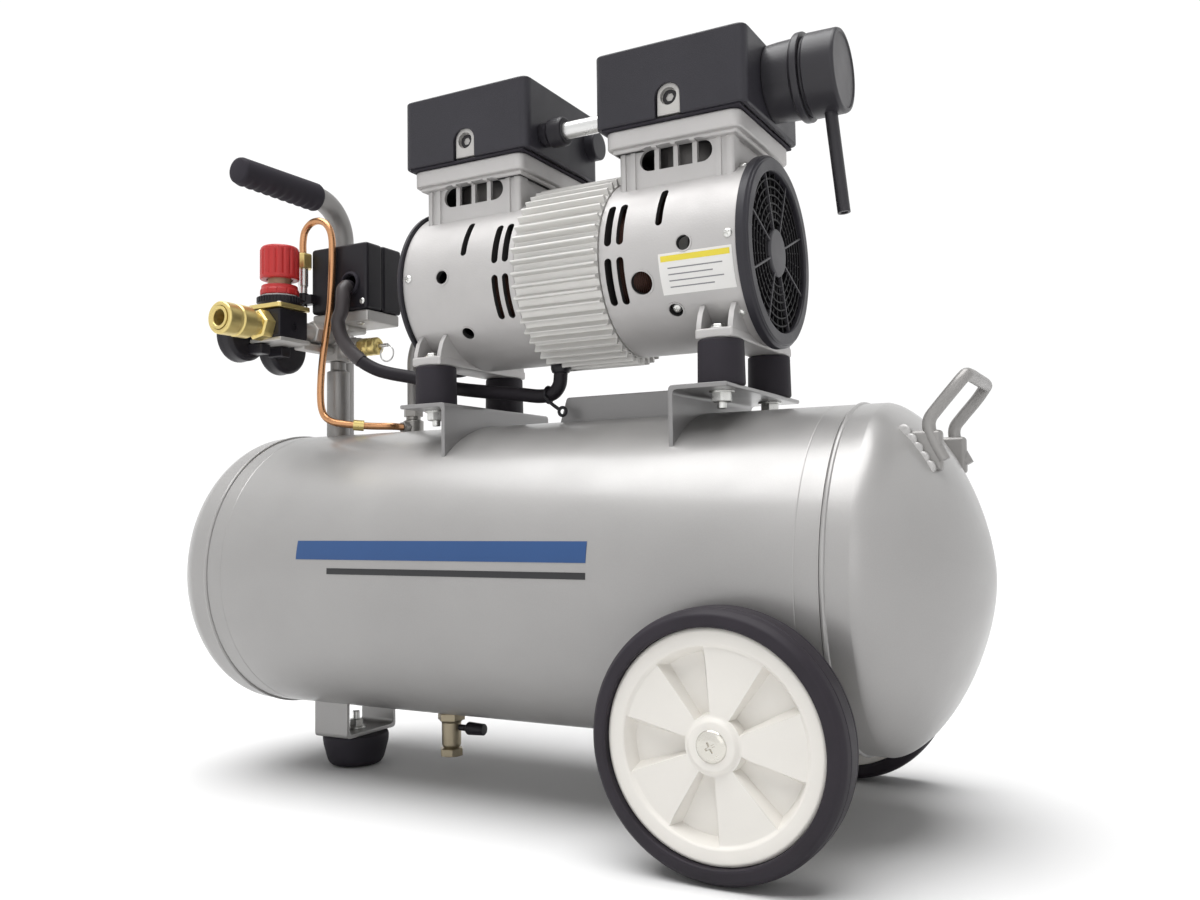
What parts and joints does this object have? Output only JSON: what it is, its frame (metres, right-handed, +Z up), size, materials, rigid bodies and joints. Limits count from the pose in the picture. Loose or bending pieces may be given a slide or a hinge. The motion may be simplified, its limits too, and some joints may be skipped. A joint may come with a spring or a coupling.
{
  "type": "air compressor",
  "caption": "Wheeled air compressor: lying steel tank carrying an oil-free twin-head motor pump, switch, regulator, gauges, filter and handles.",
  "frame": {"origin": "on the ground under the middle of the machine's bounding box", "axes": "+X along the tank towards the wheels, +Y to the back (side of the discharge pipe), +Z up"},
  "size_m": [0.6292, 0.285, 0.5203],
  "materials": {
    "tank_paint": "satin metallic paint",
    "pump_silver": "satin silver paint on cast aluminium",
    "cast_aluminium": "raw casting and extrusion",
    "grey_steel": "satin grey paint on steel tube",
    "zinc": "zinc plated",
    "bright_steel": "machined and plated",
    "charcoal": "fine grained",
    "black_plastic": "satin moulded",
    "black_rubber": "matt",
    "white_plastic": "satin moulded",
    "red_plastic": "moulded",
    "brass": "machined",
    "copper": "bare copper tube",
    "laminations": "stacked steel sheets"
  },
  "bodies": {
    "frame": {"carry_handle": "grey_steel", "check_valve": "brass", "coupler_body": "brass", "crankcase_left": "pump_silver", "crankcase_right": "pump_silver", "cross_tube": "bright_steel", "cylinder_head_left": "cast_aluminium", "cylinder_head_right": "cast_aluminium", "cylinder_left": "bright_steel", "cylinder_right": "bright_steel", "discharge_pipe": "grey_steel", "drain_valve_body": "brass", "fan_guard_left": "charcoal", "fan_guard_right": "charcoal", "filter_base": "black_plastic", "filter_cap": "black_plastic", "foot_bracket": "tank_paint", "gauge_line": "black_plastic", "gauge_tank": "black_plastic", "handle_grip": "black_rubber", "handle_tube": "grey_steel", "head_cover_left": "charcoal", "head_cover_right": "charcoal", "manifold": "cast_aluminium", "motor_cable": "black_rubber", "motor_housing": "cast_aluminium", "mount_left_back": "black_rubber", "mount_left_front": "black_rubber", "mount_right_back": "black_rubber", "mount_right_front": "black_rubber", "regulator_body": "black_plastic", "riser_pipe": "grey_steel", "rubber_foot": "black_rubber", "saddle_left": "tank_paint", "saddle_right": "tank_paint", "safety_valve_body": "brass", "stator": "laminations", "switch_base": "black_plastic", "switch_cover": "black_plastic", "tank_barrel": "tank_paint", "tank_end_left": "tank_paint", "tank_end_right": "tank_paint", "unloader_line": "copper", "wheel_bracket_back": "zinc", "wheel_bracket_front": "zinc"},
    "wheel_front": {"wheel_front": "white_plastic", "tyre_front": "black_rubber"},
    "wheel_back": {"wheel_back": "white_plastic", "tyre_back": "black_rubber"},
    "rotor": {"rotor_shaft": "bright_steel", "fan_left": "black_plastic", "fan_right": "black_plastic"},
    "piston_left": {"piston_left": "cast_aluminium"},
    "piston_right": {"piston_right": "cast_aluminium"},
    "regulator_knob": {"regulator_knob": "red_plastic"},
    "regulator_ring": {"regulator_ring": "red_plastic"},
    "coupler_sleeve": {"coupler_sleeve": "brass"},
    "safety_valve_ring": {"safety_valve_ring": "bright_steel"},
    "drain_valve_knob": {"drain_valve_knob": "black_plastic"},
    "switch_rocker": {"switch_rocker": "black_plastic"}
  },
  "joints": [
    {"name": "front_wheel_spin", "type": "hinge", "parent": "frame", "child": "wheel_front", "pos_m": [0.1858, 0, 0.075], "axis": [0, 1, 0], "continuous": true},
    {"name": "back_wheel_spin", "type": "hinge", "parent": "frame", "child": "wheel_back", "pos_m": [0.1858, 0, 0.075], "axis": [0, 1, 0], "continuous": true},
    {"name": "rotor_spin", "type": "hinge", "parent": "frame", "child": "rotor", "pos_m": [0.0443, 0, 0.375], "axis": [1, 0, 0], "continuous": true},
    {"name": "left_piston_stroke", "type": "slide", "parent": "frame", "child": "piston_left", "axis": [0, 0, 1], "range_m": [-0.008, 0.008]},
    {"name": "right_piston_stroke", "type": "slide", "parent": "frame", "child": "piston_right", "axis": [0, 0, 1], "range_m": [-0.008, 0.008]},
    {"name": "regulator_knob_turn", "type": "hinge", "parent": "frame", "child": "regulator_knob", "pos_m": [-0.2145, -0.06, 0.378], "axis": [0, 0, 1], "range_deg": [-360, 360]},
    {"name": "regulator_ring_turn", "type": "hinge", "parent": "frame", "child": "regulator_ring", "pos_m": [-0.2145, -0.06, 0.378], "axis": [0, 0, 1], "range_deg": [-180, 180]},
    {"name": "coupler_sleeve_slide", "type": "slide", "parent": "frame", "child": "coupler_sleeve", "axis": [0, 1, 0], "range_m": [0, 0.0035], "stiffness_N_per_m": 400},
    {"name": "safety_valve_pull", "type": "slide", "parent": "frame", "child": "safety_valve_ring", "axis": [1, 0, 0], "range_m": [0, 0.003], "stiffness_N_per_m": 300},
    {"name": "drain_knob_turn", "type": "hinge", "parent": "frame", "child": "drain_valve_knob", "pos_m": [-0.0916, 0, 0.037], "axis": [1, 0, 0], "range_deg": [0, 360]},
    {"name": "switch_rock", "type": "hinge", "parent": "frame", "child": "switch_rocker", "pos_m": [-0.2157, -0.012, 0.398], "axis": [0, -1, 0], "range_deg": [0, 14]}
  ],
  "couplings": [
    {"joint": "right_piston_stroke", "follows": "left_piston_stroke", "ratio": -1}
  ]
}
